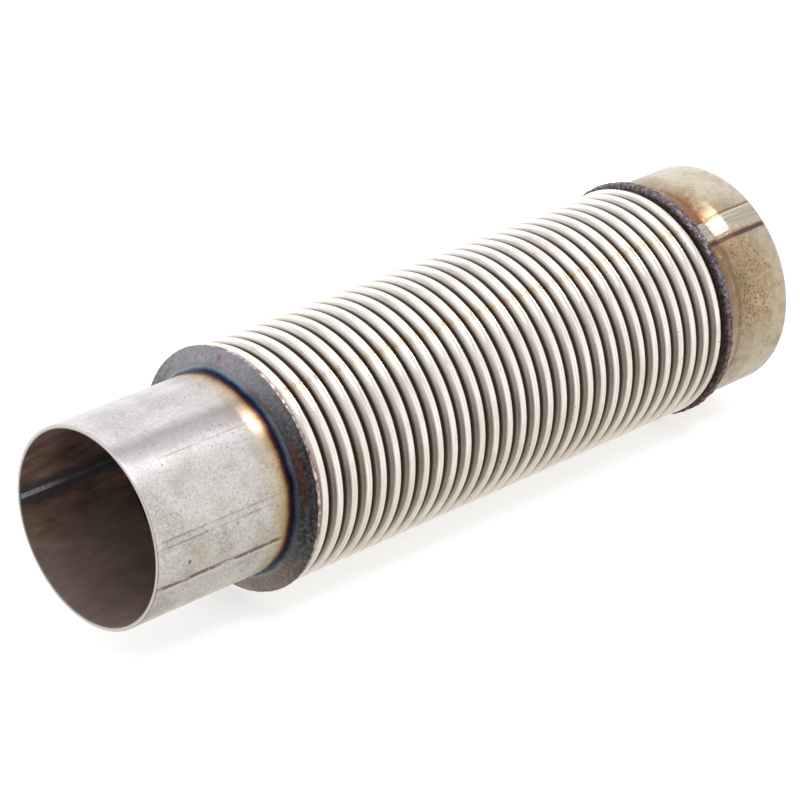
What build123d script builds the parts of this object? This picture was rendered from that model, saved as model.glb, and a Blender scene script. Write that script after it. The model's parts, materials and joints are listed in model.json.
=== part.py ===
from build123d import *
import os
from math import cos, radians, sin, tan

# Bellows expansion joint for a 76.1 mm exhaust pipe, all in millimetres.
# The origin is the centre of the inlet mouth. +X runs along the pipe towards the outlet, +Z is up.
# Every round piece is a profile in the X-Y plane (X along the pipe, Y the radius) turned about X.
# The bellows is one node for each convolution, cut at the roots, because each convolution moves on its own.

os.makedirs("parts", exist_ok=True)

# ---- driving dimensions -------------------------------------------------------------------------

PIPE_OD = 76.1            # inlet spigot, a 3 inch tube
PIPE_WALL = 1.5

CONVOLUTIONS = 30
PITCH = 7.105             # one convolution along the pipe
BELLOWS_OD = 91.8         # over the crests
BELLOWS_BORE = 77.2       # inside the roots
BELLOWS_WALL = 0.5        # both plies together
CREST_GAP = 0.9           # open slot between two crests
BELLOWS_START = 67.8      # the first root, just behind the inlet flange

FLANGE_OD = 93.0          # flange turned up from the end of the spigot
FLANGE_LEAN = 24.0        # degrees that its face leans back from square
FLANGE_FRONT = 67.0       # where that face reaches its rim
SPIGOT_FILLET = 4.0
RIM_WELD_HEIGHT = 0.5     # crown of the inlet edge weld

NECK_OD = 85.0            # outlet collar, where it leaves the bellows
SOCKET_OD = 89.0          # and where it receives the next pipe
COLLAR_RIM_OD = 92.4
COLLAR_WALL = 1.5
COLLAR_FILLET = 2.4
CREASE_X = 292.5          # the neck turns into the flare here
SHOULDER_X = 300.5        # and the flare into the straight socket here
OUTLET_END = 318.0
CREASE_RADIUS = 3.0
SHOULDER_RADIUS = 8.0
BEAD_OD = 94.6            # heavy weld bead round the collar's rim
BEAD_FOOT_R = 45.0        # how far the bead runs down the back of the rim
BEAD_BULGE = 1.5          # and how far it stands back from it
BEAD_SLOPE = 0.6          # how steeply it leaves the rim's two sides

SPIGOT_SEAM_ANGLE = -1.4  # angles are about X, from +Y towards +Z
SPIGOT_SEAM_WIDTH = 2.6
SPIGOT_SEAM_HEIGHT = 0.35
COLLAR_SEAM_ANGLE = 121.5
COLLAR_SEAM_SPAN = 11.0
COLLAR_SEAM_HEIGHT = 0.2
SEAM_INSET = 0.4          # the seams stop this far short of a cut end

LINER_RINGS = 10          # each one spans three convolutions
LINER_WALL = 0.4
LINER_TONGUE_OD = 70.0    # the end of a ring that slides
LINER_SOCKET_OD = 73.6    # the end that receives the next tongue
LINER_LIP_OD = 71.8       # lip turned out at the end of a tongue
LINER_THROAT = 71.2       # lip turned in at the mouth of a socket
LINER_BEND = 0.45         # middle of the wall round every bend of a ring
SOCKET_REACH = 3.7        # a socket runs this far to both sides of the tongue's lip
SOCKET_TAPER = 2.0
SLEEVE_START = 50.0       # the first sleeve is held in the spigot from here
SLEEVE_GRIP = 10.0        # over this length
SLEEVE_TAPER = 3.0
TAIL_FLARE_START = 284.6  # the last sleeve opens out from here to meet the collar's neck
TAIL_FLARE_END = 288.4
TAIL_END = 291.6

TOUCH = 0.02              # room between two pieces that lie against each other

# ---- sizes that follow --------------------------------------------------------------------------

pipe_r = PIPE_OD / 2
pipe_bore_r = pipe_r - PIPE_WALL
flange_r = FLANGE_OD / 2
lean = radians(FLANGE_LEAN)

crest_r = BELLOWS_OD / 2
root_r = BELLOWS_BORE / 2 + BELLOWS_WALL / 2              # middle of the wall at a root
root_bend = CREST_GAP / 2 + BELLOWS_WALL / 2              # middle of the wall round a root
crest_bend = PITCH / 2 - root_bend                        # and round a crest
root_centre_r = root_r + root_bend
crest_centre_r = crest_r - BELLOWS_WALL / 2 - crest_bend
bellows_end = BELLOWS_START + CONVOLUTIONS * PITCH

neck_r = NECK_OD / 2
socket_r = SOCKET_OD / 2
collar_rim_r = COLLAR_RIM_OD / 2
outlet_lip_x = bellows_end + root_bend                    # middle of the lip's wall
collar_front = outlet_lip_x + BELLOWS_WALL / 2 + TOUCH
collar_back = collar_front + COLLAR_WALL

tongue_r = (LINER_TONGUE_OD - LINER_WALL) / 2             # middles of the liner's walls
liner_socket_r = (LINER_SOCKET_OD - LINER_WALL) / 2
ring_length = CONVOLUTIONS / LINER_RINGS * PITCH


def save(piece, name):
    """Labels one finished piece and writes its STEP file."""
    piece.label = name
    export_step(piece, f"parts/{name}.step")


def on_rim(along, across):
    """A point measured from the inlet flange's front rim: along its leaning face, and across its wall."""
    x = FLANGE_FRONT + along * sin(lean) + across * cos(lean)
    r = flange_r + along * cos(lean) - across * sin(lean)
    return (x, r)


# ---- inlet spigot: a seam welded tube whose end is turned up into the flange --------------------

spigot_corner_x = FLANGE_FRONT - (flange_r - pipe_r) * tan(lean)

with BuildPart() as inlet_spigot:
    with BuildSketch():
        with BuildLine():
            FilletPolyline(
                (0, pipe_r),
                (spigot_corner_x, pipe_r),
                (FLANGE_FRONT, flange_r),
                radius=SPIGOT_FILLET,
            )
            offset(amount=PIPE_WALL, side=Side.RIGHT)
        make_face()
    revolve(axis=Axis.X)
save(inlet_spigot.part, "inlet_spigot")


# ---- the low weld bead left inside the spigot by its long seam ----------------------------------

seam_turn = radians(SPIGOT_SEAM_ANGLE)
seam_plane = Plane(
    origin=(SEAM_INSET, 0, 0),
    x_dir=(0, cos(seam_turn), sin(seam_turn)),
    z_dir=(1, 0, 0),
)
half_seam = SPIGOT_SEAM_WIDTH / 2 / pipe_bore_r
seam_edge_y = pipe_bore_r * cos(half_seam)
seam_edge_z = pipe_bore_r * sin(half_seam)

with BuildPart() as inlet_spigot_seam:
    with BuildSketch(seam_plane):
        with BuildLine():
            ThreePointArc((seam_edge_y, -seam_edge_z), (pipe_bore_r, 0), (seam_edge_y, seam_edge_z))
            ThreePointArc(
                (seam_edge_y, seam_edge_z),
                (pipe_bore_r - SPIGOT_SEAM_HEIGHT, 0),
                (seam_edge_y, -seam_edge_z),
            )
        make_face()
    extrude(amount=SLEEVE_START - 2 * SEAM_INSET)
save(inlet_spigot_seam.part, "inlet_spigot_seam")


# ---- inlet lip: the bellows' first half root, turned up against the back of the flange ----------

lip_middle = PIPE_WALL + TOUCH + BELLOWS_WALL / 2
lip_top = on_rim(0, lip_middle)
lip_foot_x = BELLOWS_START - root_bend
lip_lean_start_r = lip_top[1] - (lip_top[0] - lip_foot_x) / tan(lean)

with BuildPart() as bellows_inlet_lip:
    with BuildSketch():
        with BuildLine():
            CenterArc((BELLOWS_START, root_centre_r), root_bend, 270, -90)
            Polyline(
                (lip_foot_x, root_centre_r),
                (lip_foot_x, lip_lean_start_r),
                lip_top,
            )
        trace(line_width=BELLOWS_WALL)
    revolve(axis=Axis.X)
save(bellows_inlet_lip.part, "bellows_inlet_lip")


# ---- inlet edge weld: a fine crown that joins the flange's rim to the lip -----------------------

weld_span = PIPE_WALL + TOUCH + BELLOWS_WALL

with BuildPart() as inlet_edge_weld:
    with BuildSketch():
        with BuildLine():
            ThreePointArc(
                on_rim(0, 0), on_rim(RIM_WELD_HEIGHT, weld_span / 2), on_rim(0, weld_span)
            )
            Line(on_rim(0, weld_span), on_rim(0, 0))
        make_face()
    revolve(axis=Axis.X)
save(inlet_edge_weld.part, "inlet_edge_weld")


# ---- convolutions: each one is a crest between two half roots -----------------------------------

for number in range(CONVOLUTIONS):
    left = BELLOWS_START + number * PITCH
    right = left + PITCH
    with BuildPart() as convolution:
        with BuildSketch():
            with BuildLine():
                CenterArc((left, root_centre_r), root_bend, 270, 90)
                Line((left + root_bend, root_centre_r), (left + root_bend, crest_centre_r))
                CenterArc((left + PITCH / 2, crest_centre_r), crest_bend, 180, -180)
                Line((right - root_bend, crest_centre_r), (right - root_bend, root_centre_r))
                CenterArc((right, root_centre_r), root_bend, 180, 90)
            trace(line_width=BELLOWS_WALL)
        revolve(axis=Axis.X)
    save(convolution.part, f"convolution_{number + 1:02d}")


# ---- outlet lip: the last half root, turned up against the front of the collar ------------------

with BuildPart() as bellows_outlet_lip:
    with BuildSketch():
        with BuildLine():
            CenterArc((bellows_end, root_centre_r), root_bend, 270, 90)
            Line((outlet_lip_x, root_centre_r), (outlet_lip_x, collar_rim_r))
        trace(line_width=BELLOWS_WALL)
    revolve(axis=Axis.X)
save(bellows_outlet_lip.part, "bellows_outlet_lip")


# ---- outlet collar: a rim, a short neck, and a flare that opens into a straight socket ----------

with BuildPart() as outlet_collar:
    with BuildSketch():
        with BuildLine():
            FilletPolyline(
                (collar_back, collar_rim_r),
                (collar_back, neck_r),
                (CREASE_X, neck_r),
                (SHOULDER_X, socket_r),
                (OUTLET_END, socket_r),
                radius=[COLLAR_FILLET, CREASE_RADIUS, SHOULDER_RADIUS],
            )
            offset(amount=COLLAR_WALL, side=Side.RIGHT)
        make_face()
    revolve(axis=Axis.X)
save(outlet_collar.part, "outlet_collar")


# ---- outlet edge weld: a heavy bead over the collar's rim and the lip ---------------------------

bead_front = outlet_lip_x - BELLOWS_WALL / 2
bead_r = BEAD_OD / 2

with BuildPart() as outlet_edge_weld:
    with BuildSketch():
        with BuildLine():
            Polyline(
                (bead_front, collar_rim_r),
                (collar_back, collar_rim_r),
                (collar_back, BEAD_FOOT_R),
            )
            Spline(
                (collar_back, BEAD_FOOT_R),
                (collar_back + BEAD_BULGE, (BEAD_FOOT_R + bead_r) / 2),
                (collar_back, bead_r),
                (bead_front, collar_rim_r),
                tangents=[(1, BEAD_SLOPE), (0, 1), (-1, 0), (-BEAD_SLOPE, -1)],
            )
        make_face()
    revolve(axis=Axis.X)
save(outlet_edge_weld.part, "outlet_edge_weld")


# ---- the ground flat band of the collar's own seam ----------------------------------------------

with BuildPart() as outlet_collar_seam:
    with BuildSketch(Plane.XY.rotated((COLLAR_SEAM_ANGLE, 0, 0))):
        with BuildLine():
            FilletPolyline(
                (collar_back + COLLAR_FILLET, neck_r),
                (CREASE_X, neck_r),
                (SHOULDER_X, socket_r),
                (OUTLET_END - SEAM_INSET, socket_r),
                radius=[CREASE_RADIUS, SHOULDER_RADIUS],
            )
            offset(amount=COLLAR_SEAM_HEIGHT, side=Side.LEFT)
        make_face()
    revolve(axis=Axis.X, revolution_arc=COLLAR_SEAM_SPAN)
save(outlet_collar_seam.part, "outlet_collar_seam")


# ---- liner: sleeves that hook into each other, so that it bends and slides with the bellows -----

with BuildPart() as liner_inlet_sleeve:
    with BuildSketch():
        with BuildLine():
            FilletPolyline(
                (SLEEVE_START, pipe_bore_r - TOUCH - LINER_WALL / 2),
                (SLEEVE_START + SLEEVE_GRIP, pipe_bore_r - TOUCH - LINER_WALL / 2),
                (SLEEVE_START + SLEEVE_GRIP + SLEEVE_TAPER, tongue_r),
                (BELLOWS_START, tongue_r),
                (BELLOWS_START, LINER_LIP_OD / 2),
                radius=LINER_BEND,
            )
        trace(line_width=LINER_WALL)
    revolve(axis=Axis.X)
save(liner_inlet_sleeve.part, "liner_inlet_sleeve")

for number in range(LINER_RINGS):
    joint_x = BELLOWS_START + number * ring_length
    with BuildPart() as liner_ring:
        with BuildSketch():
            with BuildLine():
                FilletPolyline(
                    (joint_x - SOCKET_REACH, LINER_THROAT / 2),
                    (joint_x - SOCKET_REACH, liner_socket_r),
                    (joint_x + SOCKET_REACH, liner_socket_r),
                    (joint_x + SOCKET_REACH + SOCKET_TAPER, tongue_r),
                    (joint_x + ring_length, tongue_r),
                    (joint_x + ring_length, LINER_LIP_OD / 2),
                    radius=LINER_BEND,
                )
            trace(line_width=LINER_WALL)
        revolve(axis=Axis.X)
    save(liner_ring.part, f"liner_ring_{number + 1:02d}")

tail_r = neck_r - COLLAR_WALL - TOUCH - LINER_WALL / 2

with BuildPart() as liner_outlet_sleeve:
    with BuildSketch():
        with BuildLine():
            FilletPolyline(
                (bellows_end - SOCKET_REACH, LINER_THROAT / 2),
                (bellows_end - SOCKET_REACH, liner_socket_r),
                (TAIL_FLARE_START, liner_socket_r),
                (TAIL_FLARE_END, tail_r),
                (TAIL_END, tail_r),
                radius=LINER_BEND,
            )
        trace(line_width=LINER_WALL)
    revolve(axis=Axis.X)
save(liner_outlet_sleeve.part, "liner_outlet_sleeve")
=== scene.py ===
import json
import math

import bmesh
import bpy
import numpy as np
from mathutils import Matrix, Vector, noise


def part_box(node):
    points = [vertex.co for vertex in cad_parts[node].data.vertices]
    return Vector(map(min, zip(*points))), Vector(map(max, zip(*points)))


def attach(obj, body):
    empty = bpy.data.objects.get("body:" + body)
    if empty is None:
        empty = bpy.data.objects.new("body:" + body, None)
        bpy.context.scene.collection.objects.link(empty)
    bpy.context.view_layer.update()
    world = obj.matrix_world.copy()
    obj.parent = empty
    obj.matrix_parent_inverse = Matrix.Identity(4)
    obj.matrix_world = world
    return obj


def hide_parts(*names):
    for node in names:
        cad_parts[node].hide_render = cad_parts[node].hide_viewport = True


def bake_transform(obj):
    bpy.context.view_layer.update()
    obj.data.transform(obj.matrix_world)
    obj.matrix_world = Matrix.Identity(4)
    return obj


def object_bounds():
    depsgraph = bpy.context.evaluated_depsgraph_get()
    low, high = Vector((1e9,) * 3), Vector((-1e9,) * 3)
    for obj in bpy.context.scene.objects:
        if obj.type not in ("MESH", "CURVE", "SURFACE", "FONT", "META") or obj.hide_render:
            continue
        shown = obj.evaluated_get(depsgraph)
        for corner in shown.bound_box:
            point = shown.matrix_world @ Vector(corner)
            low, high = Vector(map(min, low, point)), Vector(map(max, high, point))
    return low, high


# Looks of a bellows expansion joint. Metres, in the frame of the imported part: the pipe runs along +X,
# and angles are about X, from +Y towards +Z.
# Round pieces are outlines of (x, r) points turned about the pipe's axis.

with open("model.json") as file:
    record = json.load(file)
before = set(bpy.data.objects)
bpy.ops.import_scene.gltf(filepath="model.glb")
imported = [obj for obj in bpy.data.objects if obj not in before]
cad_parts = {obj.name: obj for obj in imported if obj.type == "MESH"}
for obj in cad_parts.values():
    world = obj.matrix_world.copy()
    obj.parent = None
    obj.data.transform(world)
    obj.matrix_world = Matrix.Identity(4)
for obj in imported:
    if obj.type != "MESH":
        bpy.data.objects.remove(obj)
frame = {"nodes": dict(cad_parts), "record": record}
cad_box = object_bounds()

MM = 0.001


# ---- sizes, from the frame ----------------------------------------------------------------------

mounts = {mount["name"]: mount for mount in frame["record"]["mounts"]}
convolutions = sorted(name for name in frame["nodes"] if name.startswith("convolution_"))
rings = sorted(name for name in frame["nodes"] if name.startswith("liner_"))
bodies = ["inlet"] + convolutions + ["outlet"]
joints = frame["record"]["behaviour"]["joints"]
slid_bodies = {joint["child"] for joint in joints if joint["type"] == "slide"}
first_low, first_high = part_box(convolutions[0])
spigot_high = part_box("inlet_spigot")[1]
collar_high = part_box("outlet_collar")[1]
bead_low, bead_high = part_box("outlet_edge_weld")
band_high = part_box("outlet_collar_seam")[1]

pipe_r = mounts["inlet_pipe"]["dims"]["r_mm"] * MM
flange_r = spigot_high.z
pitch = first_high.x - first_low.x
crest_r = first_high.z
bellows_start = first_low.x
bellows_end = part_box(convolutions[-1])[1].x
collar_rim_r = collar_high.z
outlet_end = collar_high.x
bead_r = bead_high.z
bead_front = bead_low.x

# Sizes that a box doesn't show.
PIPE_WALL = 1.5 * MM
SPIGOT_FILLET = 4.0 * MM
FLANGE_LEAN = math.radians(24)
FLANGE_FRONT = 67.0 * MM
BELLOWS_WALL = 0.5 * MM
BELLOWS_BORE_R = 38.6 * MM
CREST_GAP = 0.9 * MM
NECK_R = 42.5 * MM
SOCKET_R = 44.5 * MM
CREASE_X = 292.5 * MM
SHOULDER_X = 300.5 * MM
COLLAR_FILLET = 2.4 * MM
CREASE_RADIUS = 3.0 * MM
SHOULDER_RADIUS = 8.0 * MM
BEAD_FOOT_R = 45.0 * MM
BEAD_TOE = 0.35 * MM               # how far the bead laps over the bellows' last lip
EDGE = 0.25 * MM                   # rounding of a cut sheet edge
TOUCH = 0.02 * MM
ROOT_LAP = 0.7 * MM                # a little more than a hinge opens a root

SPIGOT_SEAM = math.radians(-1.4)
DRAW_LINES = [math.radians(angle) for angle in (127, 169, 173)]
BELLOWS_SEAM = math.radians(122.6)
COLLAR_BAND = (math.radians(121.5), math.radians(132.5))
# Rust-brown patches on the collar: x, angle in degrees and size.
SCORCHES = [(289, 95, 4.0), (291, 104, 5.0), (292, 112, 5.0), (291, 119, 3.5), (291, 139, 2.5)]

root_bend = CREST_GAP / 2 + BELLOWS_WALL / 2      # middle of the wall
crest_bend = pitch / 2 - root_bend
root_r = BELLOWS_BORE_R + BELLOWS_WALL / 2
crest_top_r = crest_r - BELLOWS_WALL / 2
collar_back = bellows_end + root_bend + BELLOWS_WALL / 2 + TOUCH + PIPE_WALL

SEED = 7
ROUND = 200                        # stations around a smooth piece


# ---- outlines -----------------------------------------------------------------------------------

def unit(vectors):
    """Vectors scaled to length 1."""
    vectors = np.asarray(vectors, float)
    return vectors / np.linalg.norm(vectors, axis=-1, keepdims=True)


def corner_arc(before, corner, after, radius, steps):
    """Points of the arc that rounds one corner of a line."""
    back, ahead = unit(before - corner), unit(after - corner)
    turn = math.acos(np.clip(-back @ ahead, -1, 1))
    centre = corner + unit(back + ahead) * radius / math.cos(turn / 2)
    reach = radius * math.tan(turn / 2)
    start, end = corner + back * reach - centre, corner + ahead * reach - centre
    shares = np.linspace(0, 1, steps + 1)
    return [
        centre + (start * math.sin((1 - s) * turn) + end * math.sin(s * turn)) / math.sin(turn)
        for s in shares
    ]


def rounded(points, radii, steps=8, closed=False):
    """A line of (x, r) points with every corner rounded by its radius; 0 leaves it sharp."""
    points = [np.array(point, float) for point in points]
    line = []
    for index, (point, radius) in enumerate(zip(points, radii)):
        at_end = not closed and index in (0, len(points) - 1)
        if at_end or radius == 0:
            line.append(point)
        else:
            after = points[(index + 1) % len(points)]
            line.extend(corner_arc(points[index - 1], point, after, radius, steps))
    keep = [0] + [i for i in range(1, len(line)) if np.linalg.norm(line[i] - line[i - 1]) > 1e-7]
    return np.array([line[i] for i in keep])


def beside(line, amount):
    """The line moved sideways, to the right of the way it runs."""
    line = np.asarray(line, float)
    steps = unit(np.diff(line, axis=0))
    before = np.vstack([steps[:1], steps])
    after = np.vstack([steps, steps[-1:]])
    middle = unit(before + after)
    stretch = 1 / (middle * after).sum(axis=1, keepdims=True)
    return line + amount * stretch * np.column_stack([middle[:, 1], -middle[:, 0]])


def dense(line, spacing):
    """The line with extra points, so that no step is longer than the spacing."""
    points = [line[0]]
    for start, end in zip(line[:-1], line[1:]):
        count = max(1, math.ceil(np.linalg.norm(end - start) / spacing))
        points.extend(start + (end - start) * k / count for k in range(1, count + 1))
    return np.array(points)


def on_rim(along, across):
    """A point measured from the flange's front rim: along its leaning face, and across its wall."""
    return (
        FLANGE_FRONT + along * math.sin(FLANGE_LEAN) + across * math.cos(FLANGE_LEAN),
        flange_r + along * math.cos(FLANGE_LEAN) - across * math.sin(FLANGE_LEAN),
    )


# ---- meshes -------------------------------------------------------------------------------------

def stations(count, fine_at=None, fine_width=0.0, fine_count=0):
    """Angles all the way round, with extra ones where a seam needs them."""
    turns = np.linspace(0, 2 * math.pi, count, endpoint=False)
    if fine_at is not None:
        turns = turns[abs((turns - fine_at + math.pi) % (2 * math.pi) - math.pi) > fine_width / 2]
        extra = fine_at + np.linspace(-fine_width / 2, fine_width / 2, fine_count)
        turns = np.sort(np.concatenate([turns, extra % (2 * math.pi)]))
    return turns


def mesh_object(name, points, faces, run):
    """An object from points and faces. It keeps each point's place at rest and its run along the outline,
    which the materials read."""
    mesh = bpy.data.meshes.new(name)
    mesh.from_pydata(points.tolist(), [], faces)
    rest = mesh.attributes.new("rest", "FLOAT_VECTOR", "POINT")
    rest.data.foreach_set("vector", points.astype(np.float32).ravel())
    distance = mesh.attributes.new("run", "FLOAT", "POINT")
    distance.data.foreach_set("value", run.astype(np.float32).ravel())
    shaped = bmesh.new()
    shaped.from_mesh(mesh)
    bmesh.ops.recalc_face_normals(shaped, faces=shaped.faces)
    shaped.to_mesh(mesh)
    shaped.free()
    mesh.shade_smooth()
    mesh.set_sharp_from_angle(angle=math.radians(50))
    piece = bpy.data.objects.new(name, mesh)
    bpy.context.scene.collection.objects.link(piece)
    return piece


def grid_faces(rows, columns, wrap_rows, wrap_columns):
    """Quads between the points of a grid, joined at its ends where it wraps."""
    faces = []
    for i in range(rows if wrap_rows else rows - 1):
        for j in range(columns if wrap_columns else columns - 1):
            k, m = (i + 1) % rows, (j + 1) % columns
            faces.append((i * columns + j, i * columns + m, k * columns + m, k * columns + j))
    return faces


def turned(name, outline, turns, shape=None):
    """A ring: a closed outline turned about the pipe's axis.
    shape(x, r, turn) says how far every point moves along the pipe and away from it."""
    outline = np.asarray(outline, float)
    turn = np.repeat(turns[:, None], len(outline), axis=1)
    x = np.repeat(outline[None, :, 0], len(turns), axis=0)
    r = np.repeat(outline[None, :, 1], len(turns), axis=0)
    if shape is not None:
        along, away = shape(x, r, turn)
        x, r = x + along, r + away
    points = np.stack([x, r * np.cos(turn), r * np.sin(turn)], axis=-1).reshape(-1, 3)
    steps = np.linalg.norm(np.diff(outline, axis=0), axis=1)
    run = np.tile(np.concatenate([[0], np.cumsum(steps)]), len(turns))
    faces = grid_faces(len(turns), len(outline), wrap_rows=True, wrap_columns=True)
    return mesh_object(name, points, faces, run)


def band(name, line, turns, height):
    """A low raised band along a line of (x, r) points.
    height(x, share) is how far its top stands off the line; share runs from 0 to 1 across the band."""
    lift = beside(line, -1) - line
    share = (turns - turns[0]) / (turns[-1] - turns[0])
    x_grid, share_grid = np.meshgrid(line[:, 0], share, indexing="ij")
    tall = height(x_grid, share_grid)
    surfaces = []
    for amount in (tall, np.full_like(tall, -0.1 * MM)):
        x = line[:, 0:1] + lift[:, 0:1] * amount
        r = line[:, 1:2] + lift[:, 1:2] * amount
        surfaces.append(np.stack([x, r * np.cos(turns), r * np.sin(turns)], axis=-1))
    top, bottom = surfaces
    loop = np.concatenate([top, bottom[:, ::-1]], axis=1)
    rows, columns = loop.shape[:2]
    faces = grid_faces(rows, columns, wrap_rows=False, wrap_columns=True)
    faces.append(tuple(range(columns)))
    faces.append(tuple(range((rows - 1) * columns, rows * columns)))
    run = np.repeat(line[:, 0], columns)
    return mesh_object(name, loop.reshape(-1, 3), faces, run)


def rough(x, r, turn, size, depth):
    """Noise over a ring's surface, from -1 to 1."""
    y, z = r * np.cos(turn), r * np.sin(turn)
    flat = [
        noise.fractal(Vector(point) / size, 0.8, 2.1, depth)
        for point in zip(x.ravel(), y.ravel(), z.ravel())
    ]
    return np.clip(np.array(flat).reshape(x.shape), -1, 1)


# ---- materials ----------------------------------------------------------------------------------

def colour(red, green, blue):
    """A colour from display values of 0 to 255."""
    shares = [v / 255 for v in (red, green, blue)]
    return tuple(s / 12.92 if s <= 0.04045 else ((s + 0.055) / 1.055) ** 2.4 for s in shares) + (1.0,)


class Shade:
    """Puts a node tree together step by step. Every method returns the socket that holds its result.
    place is where a surface point is at rest, in millimetres."""

    def __init__(self, tree):
        self.tree = tree
        self.tree.nodes.clear()

    def node(self, kind, inputs=(), output=0, **settings):
        made = self.tree.nodes.new(kind)
        for name, value in settings.items():
            setattr(made, name, value)
        for key, value in dict(inputs).items():
            if isinstance(value, bpy.types.NodeSocket):
                self.tree.links.new(value, made.inputs[key])
            else:
                made.inputs[key].default_value = value
        return None if output is None else made.outputs[output]

    def read_place(self, on_cad_node):
        if on_cad_node:
            metres = self.node("ShaderNodeTexCoord", output="Object")
        else:
            metres = self.node("ShaderNodeAttribute", attribute_name="rest", output="Vector")
        self.place = self.node("ShaderNodeVectorMath", {0: metres, "Scale": 1 / MM}, operation="SCALE")
        self.x, y, z = (self.split(self.place, axis) for axis in "XYZ")
        self.radius = self.maths("POWER", self.maths("ADD", self.maths("MULTIPLY", y, y),
                                                     self.maths("MULTIPLY", z, z)), 0.5)

    def split(self, vector, axis):
        return self.node("ShaderNodeSeparateXYZ", {0: vector}, output=axis)

    def dot(self, vector, fixed):
        inputs = {0: vector, 1: fixed}
        return self.node("ShaderNodeVectorMath", inputs, operation="DOT_PRODUCT", output="Value")

    def maths(self, how, a, b=0.0, c=0.0):
        return self.node("ShaderNodeMath", {0: a, 1: b, 2: c}, operation=how)

    def waver(self, value, size, amount, shift=0.0):
        """The value, moved to and fro by noise over a range of amount."""
        stray = self.maths("SUBTRACT", self.noise(size, 3.0, shift=shift), 0.5)
        return self.maths("MULTIPLY_ADD", stray, amount, value)

    def rise(self, value, low, high):
        """0 below low and 1 above high, with a smooth step between; low may be the larger."""
        if low > high:
            return self.maths("SUBTRACT", 1.0, self.rise(value, high, low))
        inputs = {0: value, 1: low, 2: high, 3: 0.0, 4: 1.0}
        return self.node("ShaderNodeMapRange", inputs, interpolation_type="SMOOTHSTEP")

    def hump(self, value, middle, half_width, soft):
        """1 within half_width of the middle, and 0 beyond a soft edge."""
        distance = self.maths("ABSOLUTE", self.maths("SUBTRACT", value, middle))
        return self.rise(distance, half_width + soft, half_width)

    def noise(self, size, detail=3.0, stretch=(1, 1, 1), shift=0.0):
        """Noise from 0 to 1 whose features are about size millimetres, longer along a stretched axis."""
        scale = tuple(1 / (size * s) for s in stretch)
        inputs = {0: self.place, 1: scale, 2: (shift, shift * 0.7, shift * 0.3)}
        spot = self.node("ShaderNodeVectorMath", inputs, operation="MULTIPLY_ADD")
        inputs = {"Vector": spot, "Scale": 1.0, "Detail": detail, "Roughness": 0.6}
        return self.node("ShaderNodeTexNoise", inputs)

    def dots(self, size, cover, soft=0.08, stretch=(1, 1, 1)):
        """Round spots at random places, about one for each size millimetres; cover sets their size."""
        scale = tuple(1 / (size * s) for s in stretch)
        spot = self.node("ShaderNodeVectorMath", {0: self.place, 1: scale}, operation="MULTIPLY")
        distance = self.node("ShaderNodeTexVoronoi", {"Vector": spot, "Scale": 1.0}, output="Distance")
        return self.rise(distance, cover + soft, cover)

    def across(self, angle):
        """Millimetres from the straight line along the pipe at this angle, and 1 on its side."""
        distance = self.dot(self.place, (0, -math.sin(angle), math.cos(angle)))
        side = self.dot(self.place, (0, math.cos(angle), math.sin(angle)))
        return distance, self.rise(side, 0.0, 5.0)

    def stripe(self, angle, half_width, soft, wander=0.0):
        """A line along the pipe at this angle; wander is how far it strays."""
        distance, side = self.across(angle)
        if wander:
            distance = self.waver(distance, 9.0, wander, shift=angle)
        return self.maths("MULTIPLY", self.hump(distance, 0.0, half_width, soft), side)

    def spot(self, x, angle, radius, size, soft):
        """A patch with a ragged edge at a place on the surface."""
        centre = (x, radius * math.cos(angle), radius * math.sin(angle))
        distance = self.node(
            "ShaderNodeVectorMath", {0: self.place, 1: centre}, operation="DISTANCE", output="Value"
        )
        ragged = self.maths("MULTIPLY", self.maths("SUBTRACT", self.noise(size * 0.5), 0.5), size * 1.6)
        return self.rise(self.maths("ADD", distance, ragged), size + soft, size - soft)

    def ramp(self, value, stops):
        """A colour that follows value through the stops, a list of (place, colour) in rising order."""
        low, high = stops[0][0], stops[-1][0]
        inputs = {0: value, 1: low, 2: high, 3: 0.0, 4: 1.0}
        share = self.node("ShaderNodeMapRange", inputs)
        socket = self.node("ShaderNodeValToRGB", {0: share})
        elements = socket.node.color_ramp.elements
        elements[0].color, elements[1].color = stops[0][1], stops[-1][1]
        for place, tone in stops[1:-1]:
            elements.new((place - low) / (high - low)).color = tone
        return socket

    def mix(self, share, a, b, how="MIX"):
        inputs = {0: share, 6: a, 7: b}
        return self.node("ShaderNodeMix", inputs, output=2, data_type="RGBA", blend_type=how)

    def choose(self, share, a, b):
        """A number that goes from a to b as share goes from 0 to 1."""
        return self.node("ShaderNodeMapRange", {0: share, 1: 0.0, 2: 1.0, 3: a, 4: b})

    def bump(self, height, depth, below=None):
        """A surface normal: height from 0 to 1 stands for depth millimetres."""
        inputs = {"Height": height, "Distance": depth * MM, "Strength": 1.0}
        if below is not None:
            inputs["Normal"] = below
        return self.node("ShaderNodeBump", inputs)

    def metal(self, base, roughness, normal, metallic=1.0):
        inputs = {"Base Color": base, "Roughness": roughness, "Metallic": metallic, "Normal": normal}
        surface = self.node("ShaderNodeBsdfPrincipled", inputs)
        self.node("ShaderNodeOutputMaterial", {"Surface": surface}, output=None)


def new_material(name, on_cad_node=False):
    """An empty material and the Shade that fills it."""
    material = bpy.data.materials.new(name)
    material.use_nodes = True
    shade = Shade(material.node_tree)
    shade.read_place(on_cad_node)
    return material, shade


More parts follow.
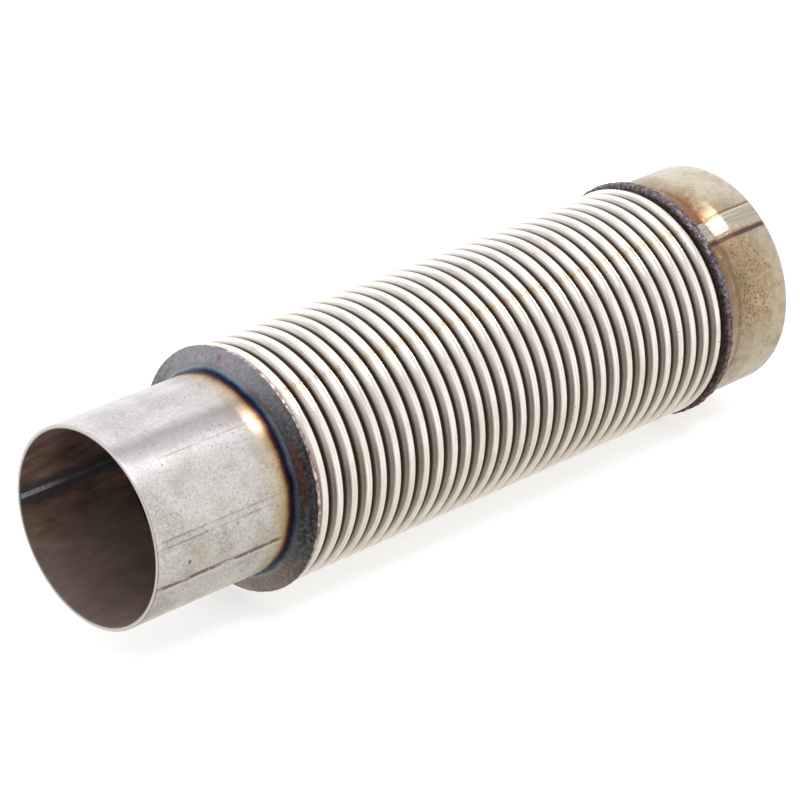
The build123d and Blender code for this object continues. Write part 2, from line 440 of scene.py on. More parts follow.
def spigot_steel():
    """Grey mill finish with draw lines, stains and pits, blued by weld heat; dark oxide on the flange.
    Painted light too: a dark band and a lilac tint near the tube's top, a lighter flange top, a lighter low
    side in the bore.
    """
    material, shade = new_material("spigot_steel")
    run = shade.node("ShaderNodeAttribute", {}, "Fac", attribute_name="run")
    run = shade.maths("MULTIPLY", run, 1 / MM)
    drawn = shade.noise(0.8, 2.0, stretch=(70, 1, 1))
    broad = shade.noise(14.0, 4.0)
    grain = shade.noise(1.1, 5.0, shift=40.0)
    fine = shade.noise(0.45, 4.0, shift=70.0)

    steel = shade.ramp(grain, [(0.30, colour(174, 172, 167)), (0.50, colour(204, 202, 198)),
                               (0.72, colour(218, 217, 214))])
    steel = shade.mix(shade.choose(drawn, 0.0, 0.30), steel, colour(158, 153, 152))
    stain = shade.maths("MULTIPLY", shade.rise(broad, 0.46, 0.64), shade.rise(fine, 0.42, 0.60))
    steel = shade.mix(shade.maths("MULTIPLY", stain, 0.66), steel, colour(140, 130, 121))
    cloud = shade.rise(shade.noise(20.0, 3.0, shift=11.0), 0.48, 0.68)
    steel = shade.mix(shade.maths("MULTIPLY", cloud, 0.55), steel, colour(170, 162, 153))
    # Painted reflection: a lilac tint on the tube's upper side, set by height alone.
    lilac = shade.rise(shade.split(shade.place, "Z"), 16.0, 36.0)
    steel = shade.mix(shade.maths("MULTIPLY", lilac, 0.25), steel, colour(196, 190, 204))

    pit = shade.maths("MULTIPLY", shade.dots(2.6, 0.09, 0.06),
                      shade.rise(shade.noise(10.0, 2.0, shift=5.0), 0.50, 0.58))
    lone_pit = shade.spot(14.5, math.radians(186), pipe_r / MM, 0.75, 0.25)
    pit = shade.maths("MAXIMUM", pit, lone_pit)
    steel = shade.mix(shade.maths("MULTIPLY", pit, 0.75), steel, colour(70, 58, 54))

    brown_line = shade.stripe(math.radians(196.6), 0.45, 0.70, wander=1.6)
    broken = shade.rise(shade.noise(3.4, 3.0, stretch=(2, 1, 1), shift=9.0), 0.38, 0.56)
    on_tube = shade.rise(run, 61.0, 55.0)
    brown_line = shade.maths("MULTIPLY", brown_line, shade.maths("MULTIPLY", broken, on_tube))
    steel = shade.mix(shade.maths("MULTIPLY", brown_line, 0.85), steel, colour(98, 74, 60))
    pale_line = shade.stripe(math.radians(199.2), 0.15, 0.35)
    steel = shade.mix(shade.maths("MULTIPLY", pale_line, 0.5), steel, colour(226, 220, 216))
    # Painted reflection: a dark band along the tube near its top, standing for a dark stretch of the
    # surroundings that the tube mirrors.
    painted_dark_reflection = shade.stripe(math.radians(118.0), 2.0, 6.0, wander=4.0)
    steel = shade.mix(shade.maths("MULTIPLY", painted_dark_reflection, 0.58), steel, colour(112, 104, 104))
    for angle in DRAW_LINES:
        line = shade.maths("MULTIPLY", shade.stripe(angle, 0.12, 0.45), shade.rise(broad, 0.30, 0.70))
        steel = shade.mix(shade.maths("MULTIPLY", line, 0.7), steel, colour(134, 126, 120))

    heated = shade.waver(run, 10.0, 2.2, shift=3.0)
    tint = shade.ramp(heated, [
        (50.0, colour(255, 255, 255)),
        (55.5, colour(250, 243, 230)),
        (58.6, colour(236, 214, 180)),
        (60.2, colour(192, 152, 112)),
        (61.0, colour(112, 76, 64)),
        (61.8, colour(52, 42, 62)),
        (62.8, colour(40, 42, 74)),
        (63.5, colour(96, 124, 160)),
        (64.3, colour(170, 182, 194)),
        (66.4, colour(150, 152, 158)),
    ])
    tinted = shade.mix(1.0, steel, tint, "MULTIPLY")

    mottle = shade.noise(1.5, 5.0, shift=21.0)
    oxide = shade.ramp(mottle, [(0.34, colour(64, 68, 75)), (0.50, colour(98, 103, 110)),
                                (0.66, colour(140, 143, 149))])
    height_z = shade.split(shade.place, "Z")
    # Painted light: the flange's upper side turns a lighter grey, broken up by the mottle.
    painted_top_light = shade.maths("MULTIPLY", shade.rise(height_z, 16.0, 44.0), shade.choose(mottle, 0.4, 0.9))
    oxide = shade.mix(painted_top_light, oxide, colour(164, 162, 170))
    rust_band = shade.maths("MULTIPLY", shade.hump(shade.radius, 42.3, 0.3, 1.5),
                            shade.maths("MULTIPLY", shade.hump(height_z, 12.0, 4.0, 10.0),
                                        shade.rise(shade.across(math.radians(165))[1], 0.5, 1.0)))
    rust_band = shade.maths("MULTIPLY", rust_band, shade.rise(mottle, 0.32, 0.46))
    # The flange turns a lighter brown towards the bottom, patchy with the mottle.
    low_brown = shade.maths("MULTIPLY", shade.rise(height_z, -10.0, -38.0), shade.choose(mottle, 0.3, 1.0))
    top_spot = shade.spot(65.5, math.radians(86), 43.5, 1.0, 0.5)
    rust = shade.maths("MAXIMUM", rust_band, top_spot)
    oxide = shade.mix(low_brown, oxide, colour(152, 136, 122))
    oxide = shade.mix(shade.maths("MULTIPLY", rust, 0.80), oxide, colour(148, 94, 76))
    on_flange = shade.rise(heated, 64.6, 66.4)
    outside = shade.mix(on_flange, tinted, oxide)

    soot = shade.ramp(shade.noise(7.0, 5.0, stretch=(2.5, 1, 1), shift=30.0), [
        (0.30, colour(92, 74, 66)), (0.52, colour(140, 114, 101)), (0.75, colour(182, 154, 138)),
    ])
    speck = shade.maths("MULTIPLY", shade.dots(1.8, 0.16, 0.12), shade.rise(broad, 0.40, 0.60))
    low_side = shade.rise(height_z, -8.0, -30.0)
    speck = shade.maths("MULTIPLY", speck, shade.choose(low_side, 0.25, 0.8))
    soot = shade.mix(speck, soot, colour(176, 116, 84))
    blued = shade.stripe(SPIGOT_SEAM, 2.6, 2.6, wander=1.0)
    soot = shade.mix(shade.maths("MULTIPLY", blued, 0.75), soot, colour(70, 80, 92))
    streak = shade.rise(shade.noise(2.6, 4.0, stretch=(9, 1, 1), shift=50.0), 0.50, 0.62)
    soot = shade.mix(shade.maths("MULTIPLY", streak, 0.45), soot, colour(84, 78, 76))
    # Painted light: the lower side of the bore turns a pale tone, as if lit through the mouth.
    soot = shade.mix(shade.maths("MULTIPLY", low_side, 0.45), soot, colour(216, 200, 188))
    wall_middle = (pipe_r - PIPE_WALL / 2) / MM
    cut_edge = shade.rise(shade.x, 0.30, 0.12)
    inside = shade.maths("MULTIPLY", shade.rise(shade.radius, wall_middle + 0.3, wall_middle - 0.3),
                         shade.maths("SUBTRACT", 1.0, cut_edge))
    base = shade.mix(inside, outside, soot)
    edge_tone = shade.ramp(shade.radius, [(36.6, colour(150, 146, 144)), (37.1, colour(206, 204, 204)),
                                          (37.6, colour(226, 224, 224)), (38.0, colour(168, 164, 162))])
    base = shade.mix(cut_edge, base, edge_tone)

    roughness = shade.choose(drawn, 0.27, 0.37)
    roughness = shade.maths("ADD", roughness, shade.maths("MULTIPLY", stain, 0.10))
    roughness = shade.maths("ADD", roughness, shade.maths("MULTIPLY", on_flange, 0.10))
    height = shade.maths("SUBTRACT", shade.maths("MULTIPLY", drawn, 0.4), pit)
    normal = shade.bump(height, 0.02)
    normal = shade.bump(shade.maths("MULTIPLY", mottle, shade.choose(on_flange, 0.06, 1.0)), 0.16, normal)
    normal = shade.bump(shade.rise(run, 54.0, 62.5), 0.85, normal)
    shade.metal(base, roughness, normal, shade.choose(inside, 1.0, 0.45))
    return material


def bellows_steel():
    """Bright rolled strip with fine lines round it, straw along its seam, and painted dark brown shade on
    its flanks, in its roots and at its lips.
    """
    material, shade = new_material("bellows_steel")
    rolled = shade.noise(0.35, 2.0, stretch=(1, 30, 30))
    broad = shade.noise(16.0, 3.0)
    grain = shade.noise(0.9, 4.0, shift=12.0)
    steel = shade.ramp(rolled, [(0.30, colour(218, 212, 205)), (0.55, colour(238, 234, 229)),
                                (0.75, colour(247, 245, 242))])
    straw = shade.maths("MULTIPLY", shade.rise(broad, 0.48, 0.66), 0.30)
    steel = shade.mix(straw, steel, colour(206, 192, 172))

    seam = shade.stripe(BELLOWS_SEAM, 0.35, 0.9, wander=0.8)
    heat = shade.stripe(BELLOWS_SEAM, 1.2, 3.2, wander=1.6)
    spots = shade.maths("MULTIPLY", shade.stripe(BELLOWS_SEAM, 0.8, 1.0),
                        shade.rise(shade.noise(2.2, 2.0), 0.52, 0.60))
    steel = shade.mix(shade.maths("MULTIPLY", heat, 0.34), steel, colour(214, 188, 146))
    steel = shade.mix(shade.maths("MULTIPLY", seam, 0.26), steel, colour(186, 148, 100))
    steel = shade.mix(shade.maths("MULTIPLY", spots, 0.28), steel, colour(150, 104, 70))

    fleck = shade.maths("MULTIPLY", shade.dots(5.0, 0.06, 0.04), shade.rise(grain, 0.42, 0.58))
    steel = shade.mix(shade.maths("MULTIPLY", fleck, 0.6), steel, colour(120, 92, 70))
    # Painted shade: below the crest tops the flanks and roots turn dark brown, rougher and less metallic,
    # and so do both lips beside the welds, for the shade in the narrow gaps.
    painted_gap_shade = shade.rise(shade.radius, crest_r / MM - 0.6, crest_r / MM - 1.9)
    painted_lip_shade = shade.maths("MAXIMUM", shade.rise(shade.x, bellows_end / MM + 0.2, bellows_end / MM + 0.6),
                           shade.rise(shade.x, bellows_start / MM + 1.0, bellows_start / MM + 0.3))
    painted_gap_shade = shade.maths("MAXIMUM", painted_gap_shade, painted_lip_shade)
    steel = shade.mix(shade.maths("MULTIPLY", painted_gap_shade, 0.94), steel, colour(78, 56, 38))

    roughness = shade.choose(rolled, 0.16, 0.27)
    roughness = shade.maths("ADD", roughness, shade.maths("MULTIPLY", painted_gap_shade, 0.22))
    normal = shade.bump(rolled, 0.012)
    normal = shade.bump(grain, 0.012, normal)
    shade.metal(steel, roughness, normal, shade.choose(painted_gap_shade, 1.0, 0.5))
    return material


def edge_weld_metal():
    """The fine weld on the inlet rim: pinkish and bright, with brown oxide between its ripples."""
    material, shade = new_material("edge_weld_metal")
    ripple = shade.noise(2.4, 4.0)
    tone = shade.ramp(ripple, [(0.36, colour(104, 84, 76)), (0.50, colour(158, 142, 136)),
                               (0.64, colour(208, 194, 188))])
    normal = shade.bump(shade.noise(0.7, 4.0, shift=4.0), 0.03)
    shade.metal(tone, shade.choose(ripple, 0.58, 0.40), normal)
    return material


def bead_metal():
    """The heavy weld on the outlet rim: rough purple-grey oxide with bright specks, browner lower down."""
    material, shade = new_material("bead_metal")
    lumps = shade.noise(1.7, 5.0)
    tone = shade.ramp(lumps, [(0.32, colour(58, 50, 56)), (0.50, colour(104, 93, 100)),
                              (0.68, colour(156, 144, 148))])
    brown = shade.maths("MULTIPLY", shade.rise(shade.split(shade.place, "Z"), 14.0, -20.0),
                        shade.rise(shade.noise(6.0, 3.0, shift=8.0), 0.36, 0.60))
    tone = shade.mix(shade.maths("MULTIPLY", brown, 0.7), tone, colour(112, 78, 66))
    bright = shade.rise(shade.noise(0.75, 3.0, shift=17.0), 0.62, 0.72)
    tone = shade.mix(shade.maths("MULTIPLY", bright, 0.8), tone, colour(214, 202, 200))
    normal = shade.bump(shade.noise(0.6, 5.0, shift=6.0), 0.14)
    shade.metal(tone, shade.choose(bright, 0.52, 0.22), normal)
    return material


def collar_steel(name, on_band=False):
    """Golden-tan heat tint, rust-brown beside the bead, with rust specks. The ground seam band is barer.
    Painted light too: a paler lower side, a lighter top and a dark line of shade past the crease.
    """
    material, shade = new_material(name)
    brushed = shade.noise(0.5, 3.0, stretch=(1, 16, 16))
    broad = shade.noise(13.0, 4.0, shift=2.0)
    grain = shade.noise(1.1, 5.0, shift=14.0)
    tone = shade.ramp(shade.waver(shade.x, 8.0, 6.5, shift=5.0), [
        (284.0, colour(88, 58, 58)),
        (286.5, colour(110, 76, 62)),
        (289.0, colour(134, 106, 84)),
        (293.0, colour(146, 128, 102)),
        (300.0, colour(168, 150, 118)),
        (308.0, colour(170, 156, 130)),
        (318.0, colour(182, 172, 156)),
    ])
    height_z = shade.split(shade.place, "Z")
    # Painted reflection: the lower side turns a pale beige, as if mirroring a pale table.
    low = shade.rise(height_z, 14.0, -30.0)
    tone = shade.mix(shade.maths("MULTIPLY", low, 0.75), tone, colour(208, 199, 188))
    # Painted highlight: the top of the flare and socket turns lighter, near white.
    top = shade.maths("MULTIPLY", shade.rise(height_z, 37.0, 45.0), shade.rise(shade.x, 290.0, 304.0))
    tone = shade.mix(shade.maths("MULTIPLY", top, 0.45), tone, colour(216, 208, 198))
    for x, angle, size in SCORCHES:
        scorch = shade.spot(x, math.radians(angle), NECK_R / MM, size, 3.0)
        tone = shade.mix(shade.maths("MULTIPLY", scorch, 0.62), tone, colour(132, 84, 54))
    olive = shade.rise(broad, 0.50, 0.68)
    tone = shade.mix(shade.maths("MULTIPLY", olive, 0.45), tone, colour(134, 118, 88))
    patchy = shade.noise(3.2, 5.0, shift=33.0)
    brown_patch = shade.maths("MULTIPLY", shade.rise(patchy, 0.46, 0.64), 0.28)
    pale_patch = shade.maths("MULTIPLY", shade.rise(patchy, 0.48, 0.34), 0.30)
    tone = shade.mix(brown_patch, tone, colour(144, 124, 100))
    tone = shade.mix(pale_patch, tone, colour(206, 190, 160))
    if on_band:
        ground = shade.noise(0.4, 3.0, stretch=(60, 1, 1), shift=3.0)
        bare = shade.ramp(ground, [(0.34, colour(150, 144, 128)), (0.66, colour(212, 208, 190))])
        tone = shade.mix(0.8, tone, bare)

    side_x = shade.hump(shade.x, 301.0, 5.0, 8.0)
    facing = shade.stripe(math.radians(158), 14.0, 14.0)
    field = shade.maths("MULTIPLY", side_x, facing)
    dense_rust = shade.maths("MULTIPLY", shade.rise(shade.noise(0.8, 3.0, shift=61.0), 0.46, 0.66),
                             shade.rise(shade.noise(3.5, 3.0, shift=44.0), 0.34, 0.54))
    rust = shade.maths("MULTIPLY", dense_rust, shade.maths("MAXIMUM", field, 0.12))
    tone = shade.mix(shade.maths("MULTIPLY", rust, 0.80), tone, colour(122, 78, 58))
    flecks = shade.maths("MULTIPLY", shade.dots(4.2, 0.075, 0.05), shade.rise(broad, 0.40, 0.56))
    tone = shade.mix(shade.maths("MULTIPLY", flecks, 0.7), tone, colour(92, 62, 46))
    if not on_band:
        purple = shade.stripe(math.radians(134.6), 0.55, 0.75, wander=1.2)
        tone = shade.mix(shade.maths("MULTIPLY", purple, 0.9), tone, colour(84, 62, 66))
        upper = shade.stripe(math.radians(120.9), 0.15, 0.55, wander=0.6)
        tone = shade.mix(shade.maths("MULTIPLY", upper, 0.7), tone, colour(104, 84, 70))

    # Painted shade: a dark line just past the crease between neck and flare.
    crease = shade.hump(shade.x, CREASE_X / MM + 0.4, 0.35, 1.0)
    tone = shade.mix(shade.maths("MULTIPLY", crease, 0.35), tone, colour(96, 72, 52))
    rim = shade.rise(shade.x, 316.9, 317.6)
    tone = shade.mix(shade.maths("MULTIPLY", rim, 0.6), tone, colour(188, 180, 184))
    roughness = shade.choose(brushed, 0.24, 0.38)
    roughness = shade.maths("ADD", roughness, shade.maths("MULTIPLY", rust, 0.35))
    height = shade.maths("ADD", shade.maths("MULTIPLY", brushed, 0.5), rust)
    normal = shade.bump(height, 0.025)
    normal = shade.bump(grain, 0.02, normal)
    shade.metal(tone, roughness, normal)
    return material


def seam_metal():
    """The bead inside the spigot: bright and rippled, blued at its sides, and darkened deeper into the bore
    by painted shade.
    """
    material, shade = new_material("seam_metal")
    ripple = shade.noise(0.9, 3.0, stretch=(1, 3, 3))
    tone = shade.ramp(ripple, [(0.34, colour(190, 192, 196)), (0.66, colour(236, 236, 236))])
    side = shade.maths("ABSOLUTE", shade.across(SPIGOT_SEAM)[0])
    tone = shade.mix(shade.rise(side, 0.7, 1.3), tone, colour(78, 86, 98))
    # Painted shade: the bead darkens deeper into the bore.
    tone = shade.mix(shade.maths("MULTIPLY", shade.rise(shade.x, 6.0, 24.0), 0.8), tone, colour(70, 72, 78))
    shade.metal(tone, shade.choose(ripple, 0.46, 0.34), shade.bump(ripple, 0.02), 0.6)
    return material


def liner_steel():
    """Dull strip, browned by exhaust gas, with fine lines round it."""
    material, shade = new_material("liner_steel", on_cad_node=True)
    rolled = shade.noise(0.4, 2.0, stretch=(1, 24, 24))
    broad = shade.noise(9.0, 4.0)
    tone = shade.ramp(rolled, [(0.32, colour(118, 108, 100)), (0.68, colour(166, 158, 150))])
    tone = shade.mix(shade.rise(broad, 0.42, 0.66), tone, colour(106, 84, 66))
    shade.metal(tone, shade.choose(broad, 0.30, 0.46), shade.bump(rolled, 0.015))
    return material


# ---- inlet spigot -------------------------------------------------------------------------------

def place(piece, material, body, slot, *nodes):
    """Gives a finished piece its material and its body, and hides the CAD nodes that it stands for; the
    slot is not used.
    """
    piece.data.materials.append(material)
    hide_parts(*nodes)
    if body is not None:
        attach(piece, body)


def spigot():
    """The tube with its turned-up flange, very slightly oval, with shallow dents."""
    corner_x = FLANGE_FRONT - (flange_r - pipe_r) * math.tan(FLANGE_LEAN)
    face = np.array([(0, pipe_r), (corner_x, pipe_r), (FLANGE_FRONT, flange_r)])
    back = beside(face, PIPE_WALL)[::-1]
    radii = [EDGE, SPIGOT_FILLET, EDGE, EDGE, SPIGOT_FILLET + PIPE_WALL, EDGE]
    outline = dense(rounded(np.vstack([face, back]), radii, closed=True), 1.6 * MM)

    def shape(x, r, turn):
        ease = np.clip(1 - x / corner_x, 0, 1)
        oval = 0.10 * MM * ease * np.cos(2 * (turn - 0.6))
        dents = 0.06 * MM * rough(x, r, turn, 0.022, 2) * np.clip(1.2 - x / corner_x, 0, 1)
        return 0 * x, oval + dents - 0.05 * MM * ease

    piece = turned("spigot", outline, stations(ROUND), shape)
    place(piece, spigot_steel(), "inlet", "spigot_steel", "inlet_spigot")


def spigot_seam():
    """The low bead left inside the spigot, with weld ripples."""
    low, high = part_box("inlet_spigot_seam")
    bore_r = pipe_r - PIPE_WALL
    half_turn = (high.z - low.z) / 2 / bore_r
    line = np.array([(x, bore_r) for x in np.arange(high.x, low.x, -0.5 * MM)])
    turns = SPIGOT_SEAM + np.linspace(-half_turn, half_turn, 13)

    def height(x, share):
        ripple = 0.02 * MM * np.sin(2 * math.pi * x / (1.6 * MM) + 3 * share)
        return (0.28 * MM + ripple) * np.sin(math.pi * share)

    piece = band("spigot_seam", line, turns, height)
    place(piece, seam_metal(), "inlet", "spigot_steel", "inlet_spigot_seam")


def edge_weld():
    """The fine crown of weld on the inlet flange's rim."""
    span = PIPE_WALL + TOUCH + BELLOWS_WALL
    crown = [on_rim(0.42 * MM * math.sin(math.pi * s), span * s) for s in np.linspace(0, 1, 11)]
    outline = np.array(crown + [on_rim(-0.1 * MM, span), on_rim(-0.1 * MM, 0)])

    def shape(x, r, turn):
        lumps = rough(x, r, turn, 0.0026, 3)
        outer = np.clip((r - flange_r + 0.9 * MM) / MM, 0, 1)
        return 0.12 * MM * lumps * outer, 0.14 * MM * (lumps - 0.4) * outer

    piece = turned("edge_weld", outline, stations(480), shape)
    place(piece, edge_weld_metal(), "inlet", "weld_metal", "inlet_edge_weld")


# ---- bellows ------------------------------------------------------------------------------------

def crest_drifts():
    """How far each crest strays from its true place, as waves around the pipe."""
    rng = np.random.default_rng(SEED)
    drifts = []
    for number in range(len(convolutions)):
        waves = [(k, 0.07 * MM / k * rng.uniform(0.4, 1), rng.uniform(0, 2 * math.pi))
                 for k in (1, 2, 3, 5)]
        drifts.append((rng.uniform(-0.04, 0.04) * MM, waves))
    still = (0.0, [])
    return [still] + drifts + [still]


def drift(crest, turn):
    """The stray of one crest at each angle."""
    offset, waves = crest
    return offset + sum(size * np.cos(k * turn + phase) for k, size, phase in waves)


def wall_line(number):
    """The middle of a wall, from the middle of one crest, through a root, to the middle of the next.
    The first and the last begin and end at the lips instead."""
    root_x = bellows_start + number * pitch
    left, right = root_x - root_bend, root_x + root_bend
    points = [(left, crest_top_r), (left, root_r), (right, root_r), (right, crest_top_r)]
    radii = [crest_bend, root_bend, root_bend, crest_bend]
    if number == 0:
        lip_top = on_rim(0, PIPE_WALL + TOUCH + BELLOWS_WALL / 2)
        foot_r = lip_top[1] - (lip_top[0] - left) / math.tan(FLANGE_LEAN)
        points[0:1] = [lip_top, (left, foot_r)]
        radii[0:1] = [0, BELLOWS_WALL]
    else:
        points.insert(0, (root_x - pitch / 2, crest_top_r))
        radii.insert(0, 0)
    if number == len(convolutions):
        points[-1] = (right, collar_rim_r)
        radii[-1] = 0
    else:
        points.append((root_x + pitch / 2, crest_top_r))
        radii.append(0)
    return rounded(points, radii, steps=9)


def wall_shape(root_x, crest_before, crest_after):
    """How a wall strays with the crests on both its sides, and the ridge of its long seam."""
    def shape(x, r, turn):
        share = np.clip((x - root_x) / pitch + 0.5, 0, 1)
        share = share * share * (3 - 2 * share)
        before, after = drift(crest_before, turn), drift(crest_after, turn)
        stray = before * (1 - share) + after * share
        off_seam = ((turn - BELLOWS_SEAM + math.pi) % (2 * math.pi) - math.pi) * r / (0.5 * MM)
        ridge = 0.03 * MM * np.exp(-off_seam ** 2)
        high = np.clip((r - root_r) / (crest_top_r - root_r), 0, 1)
        return stray, -0.5 * abs(stray) * high + ridge * (share > 0) * (share < 1)

    return shape


def wall_sheet(name, line, shape):
    """A sheet of the bellows' thickness along a line, turned about the pipe's axis."""
    thin_ends = np.vstack([line[:1], line[:1] * 0.97 + line[1:2] * 0.03, line[1:-1],
                           line[-1:] * 0.97 + line[-2:-1] * 0.03, line[-1:]])
    outer, inner = beside(thin_ends, -BELLOWS_WALL / 2), beside(thin_ends, BELLOWS_WALL / 2)
    around = stations(ROUND, fine_at=BELLOWS_SEAM, fine_width=math.radians(3), fine_count=13)
    return turned(name, np.vstack([outer, inner[::-1]]), around, shape)


def wall_over_slide(name, number, line, shape, material):
    """One piece over a slide, left unattached to any body."""
    is_last = number == len(convolutions)
    nodes = ["bellows_outlet_lip"] if is_last else [convolutions[number]]
    start = line[0][0]
    if number == 0:
        nodes.append("bellows_inlet_lip")
        start += BELLOWS_WALL / 2
    piece = wall_sheet(name, line, shape)
    place(piece, material, None, "bellows_steel", *nodes)
    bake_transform(piece)


def wall_over_hinge(name, number, line, shape, material):
    """Two rigid halves. They aren't joined: the first one's end runs into the second's at the root."""
    root_x = bellows_start + number * pitch
    lap_r = root_r - BELLOWS_WALL / 4
    lap = [(root_x + ROOT_LAP / 2, lap_r), (root_x + ROOT_LAP, lap_r)]
    first = np.vstack([line[line[:, 0] < root_x - TOUCH], lap])
    second = line[line[:, 0] > root_x - TOUCH]
    for half, points, body in (("first", first, bodies[number]), ("second", second, bodies[number + 1])):
        place(wall_sheet(f"{name}_{half}", points, shape), material, body, "bellows_steel", body)


def wall(number, crests, material):
    """The wall over one root, made for the way its joint moves."""
    name = f"bellows_wall_{number + 1:02d}"
    shape = wall_shape(bellows_start + number * pitch, crests[number], crests[number + 1])
    build = wall_over_slide if bodies[number + 1] in slid_bodies else wall_over_hinge
    build(name, number, wall_line(number), shape, material)


def bellows():
    """Thirty-one walls, one over each root."""
    material = bellows_steel()
    crests = crest_drifts()
    for number in range(len(convolutions) + 1):
        wall(number, crests, material)


# ---- outlet -------------------------------------------------------------------------------------

COLLAR_LINE = [(collar_back, collar_rim_r), (collar_back, NECK_R), (CREASE_X, NECK_R),
               (SHOULDER_X, SOCKET_R), (outlet_end, SOCKET_R)]


def collar_shape(x, r, turn):
    """Slight ovality and hammer-flat places of the flared end."""
    ease = np.clip((x - collar_back) / (outlet_end - collar_back), 0, 1)
    oval = 0.08 * MM * ease * (np.cos(2 * (turn - 2.2)) - 1)
    return 0 * x, oval + 0.05 * MM * rough(x, r, turn, 0.016, 2) * ease


def collar():
    """The rim, the short neck and the flare that opens into a straight socket."""
    face = np.array(COLLAR_LINE)
    back = beside(face, PIPE_WALL)[::-1]
    radii = [EDGE, COLLAR_FILLET, CREASE_RADIUS, SHOULDER_RADIUS, EDGE]
    inner = [EDGE, SHOULDER_RADIUS - PIPE_WALL, CREASE_RADIUS + PIPE_WALL, COLLAR_FILLET + PIPE_WALL, EDGE]
    outline = dense(rounded(np.vstack([face, back]), radii + inner, closed=True), 1.2 * MM)
    piece = turned("collar", outline, stations(ROUND), collar_shape)
    place(piece, collar_steel("collar_steel"), "outlet", "collar_steel", "outlet_collar")


def collar_seam():
    """The ground flat band of the collar's seam."""
    points = [(collar_back + COLLAR_FILLET, NECK_R)] + COLLAR_LINE[2:-1] + [(band_high.x, SOCKET_R)]
    line = dense(rounded(points, [0, CREASE_RADIUS, SHOULDER_RADIUS, 0]), 0.8 * MM)
    turns = np.linspace(*COLLAR_BAND, 15)

    def height(x, share):
        edge = np.minimum(share, 1 - share) * 14
        ground = 0.02 * MM * np.sin(x / (2.3 * MM) + 4 * share)
        return (0.13 * MM + ground) * np.clip(edge, 0, 1) - 0.06 * MM * (1 - np.clip(edge, 0, 1))

    piece = band("collar_seam", line, turns, height)
    place(piece, collar_steel("collar_band", on_band=True), "outlet", "collar_steel", "outlet_collar_seam")


def bead():
    """The heavy outlet weld: a lumpy, rippled roll over the collar's rim."""
    bulge = bead_high.x
    toe = bead_front - BEAD_TOE
    points = [(bead_front, BEAD_FOOT_R - BEAD_TOE), (toe, BEAD_FOOT_R), (toe, bead_r), (bulge, bead_r),
              (bulge, (BEAD_FOOT_R + bead_r) / 2), (collar_back, BEAD_FOOT_R),
              (collar_back - 0.5 * MM, collar_rim_r - 0.3 * MM)]
    radii = [0, 0.2 * MM, 0.8 * MM, 1.1 * MM, 0.5 * MM, 0, 0]
    outline = dense(rounded(points, radii, steps=6, closed=True), 0.3 * MM)

    def shape(x, r, turn):
        lumps = rough(x, r, turn, 0.0019, 4)
        free = np.clip((r - BEAD_FOOT_R) / MM, 0, 1)
        sunk = (0.30 * lumps - 0.30) * MM * free
        outward = np.clip((x - collar_back) / MM, 0, 1)
        return sunk * outward, np.minimum(sunk, 0)

    piece = turned("bead", outline, stations(720), shape)
    place(piece, bead_metal(), "outlet", "weld_metal", "outlet_edge_weld")


def liner():
    """The liner keeps its CAD shape and takes the finish of the dull, browned strip."""
    material = liner_steel()
    for name in rings:
        mesh = frame["nodes"][name].data
        mesh.materials.clear()
        mesh.materials.append(material)


# ---- studio -------------------------------------------------------------------------------------

CAMERA_AZIMUTH = math.radians(-44.0)
CAMERA_ELEVATION = math.radians(25.41)
CAMERA_DISTANCE = 1.542
CAMERA_LENS = 186.4
CAMERA_AIM = Vector((-4.2, 3.2, -2.6)) * MM      # from the middle of the object


def direction(azimuth, elevation):
    """From the object towards a place round it; azimuth 0 is at -Y, as for the camera."""
    return Vector((
        math.sin(azimuth) * math.cos(elevation),
        -math.cos(azimuth) * math.cos(elevation),
        math.sin(elevation),
    ))


def camera():
    middle = (cad_box[0] + cad_box[1]) / 2
    back = direction(CAMERA_AZIMUTH, CAMERA_ELEVATION)
    made = bpy.data.objects.new("camera", bpy.data.cameras.new("camera"))
    made.data.lens = CAMERA_LENS
    made.location = middle + CAMERA_AIM + back * CAMERA_DISTANCE
    made.rotation_mode = "QUATERNION"
    made.rotation_quaternion = back.to_track_quat("Z", "Y")
    bpy.context.scene.collection.objects.link(made)
    bpy.context.scene.camera = made


def floor():
    """A large pale table that also glows a little, as a light table does."""
    size, z = 6.0, cad_box[0].z
    mesh = bpy.data.meshes.new("floor")
    corners = [(-size, -size, z), (size, -size, z), (size, size, z), (-size, size, z)]
    mesh.from_pydata(corners, [], [(0, 1, 2, 3)])
    made = bpy.data.objects.new("floor", mesh)
    bpy.context.scene.collection.objects.link(made)
    material = bpy.data.materials.new("floor")
    material.use_nodes = True
    surface = material.node_tree.nodes["Principled BSDF"]
    surface.inputs["Base Color"].default_value = (0.6, 0.6, 0.6, 1)
    surface.inputs["Roughness"].default_value = 0.6
    surface.inputs["Emission Color"].default_value = (1, 1, 1, 1)
    surface.inputs["Emission Strength"].default_value = 0.65
    mesh.materials.append(material)
    made.visible_glossy = False


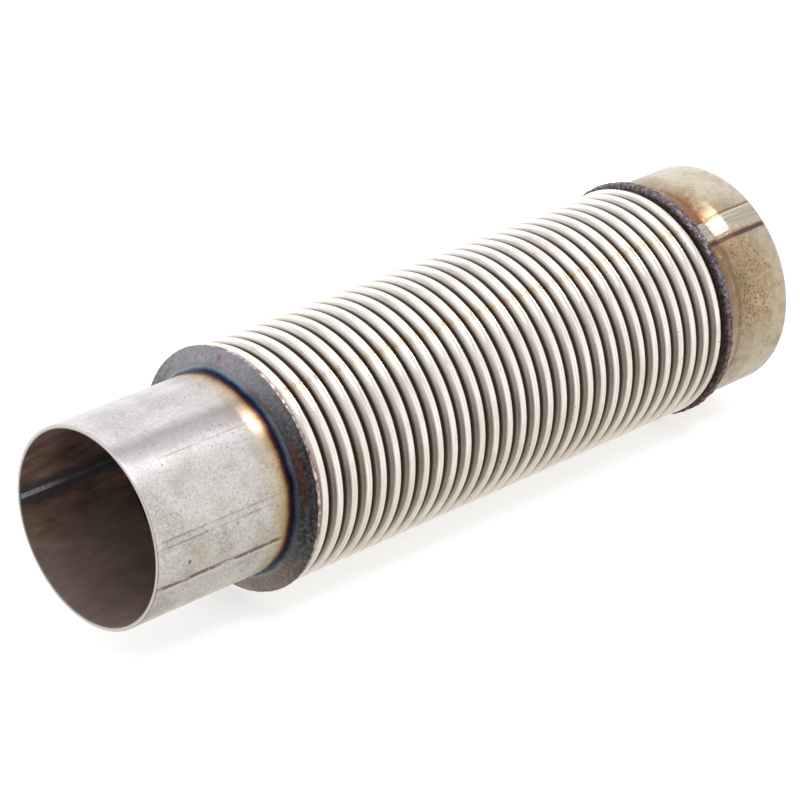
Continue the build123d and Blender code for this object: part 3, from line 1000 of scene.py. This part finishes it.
def surroundings():
    """What the metal mirrors: a bright tent overhead, behind and to the right, a pale table below,
    and the dim warm room that a photographer stands in."""
    world = bpy.data.worlds.new("studio")
    bpy.context.scene.world = world
    world.use_nodes = True
    shade = Shade(world.node_tree)
    way = shade.node("ShaderNodeTexCoord", output="Generated")
    way = shade.node("ShaderNodeVectorMath", {0: way}, operation="NORMALIZE")
    height = shade.split(way, "Z")
    tent = shade.ramp(height, [(-1.0, (0.62, 0.59, 0.54, 1)), (-0.5, (0.86, 0.83, 0.77, 1)),
                               (-0.1, (0.98, 0.96, 0.93, 1)), (0.4, (0.95, 0.94, 0.93, 1)),
                               (0.62, (0.88, 0.87, 0.87, 1)), (0.77, (0.50, 0.49, 0.50, 1)),
                               (0.9, (0.92, 0.92, 0.92, 1)), (1.0, (1.0, 1.0, 1.0, 1))])
    behind_way = direction(CAMERA_AZIMUTH + math.pi, math.radians(20))
    behind = shade.dot(way, behind_way)
    behind = shade.rise(behind, math.cos(math.radians(60)), math.cos(math.radians(25)))
    tent = shade.mix(behind, tent, (1.12, 1.12, 1.12, 1))
    dim = shade.ramp(height, [(-1.0, (0.30, 0.26, 0.22, 1)), (-0.3, (0.16, 0.14, 0.12, 1)),
                              (0.1, (0.28, 0.25, 0.23, 1)), (0.5, (0.52, 0.49, 0.47, 1)),
                              (0.9, (0.8, 0.78, 0.76, 1))])
    room_way = direction(CAMERA_AZIMUTH - math.radians(14), 0.0)
    level = shade.node("ShaderNodeVectorMath", {0: way, 1: (1, 1, 0.35)}, operation="MULTIPLY")
    level = shade.node("ShaderNodeVectorMath", {0: level}, operation="NORMALIZE")
    near = shade.dot(level, room_way)
    room = shade.rise(near, math.cos(math.radians(66)), math.cos(math.radians(38)))
    tone = shade.mix(room, tent, dim)
    light = shade.node("ShaderNodeBackground", {"Color": tone, "Strength": 1.25})
    shade.node("ShaderNodeOutputWorld", {"Surface": light}, output=None)


def softbox(name, azimuth, elevation, distance, size, power):
    """A square light that faces the object."""
    light = bpy.data.lights.new(name, "AREA")
    light.size = size
    light.energy = power
    made = bpy.data.objects.new(name, light)
    way = direction(math.radians(azimuth), math.radians(elevation))
    made.location = (cad_box[0] + cad_box[1]) / 2 + way * distance
    made.rotation_mode = "QUATERNION"
    made.rotation_quaternion = way.to_track_quat("Z", "Y")
    bpy.context.scene.collection.objects.link(made)


def scene():
    spigot()
    spigot_seam()
    edge_weld()
    bellows()
    collar()
    collar_seam()
    bead()
    liner()
    camera()
    floor()
    surroundings()
    softbox("overhead", azimuth=18, elevation=68, distance=1.6, size=0.55, power=11)
    softbox("lamp", azimuth=61, elevation=66, distance=1.6, size=0.22, power=1.6)
    bpy.context.scene.view_settings.view_transform = "Standard"


scene()
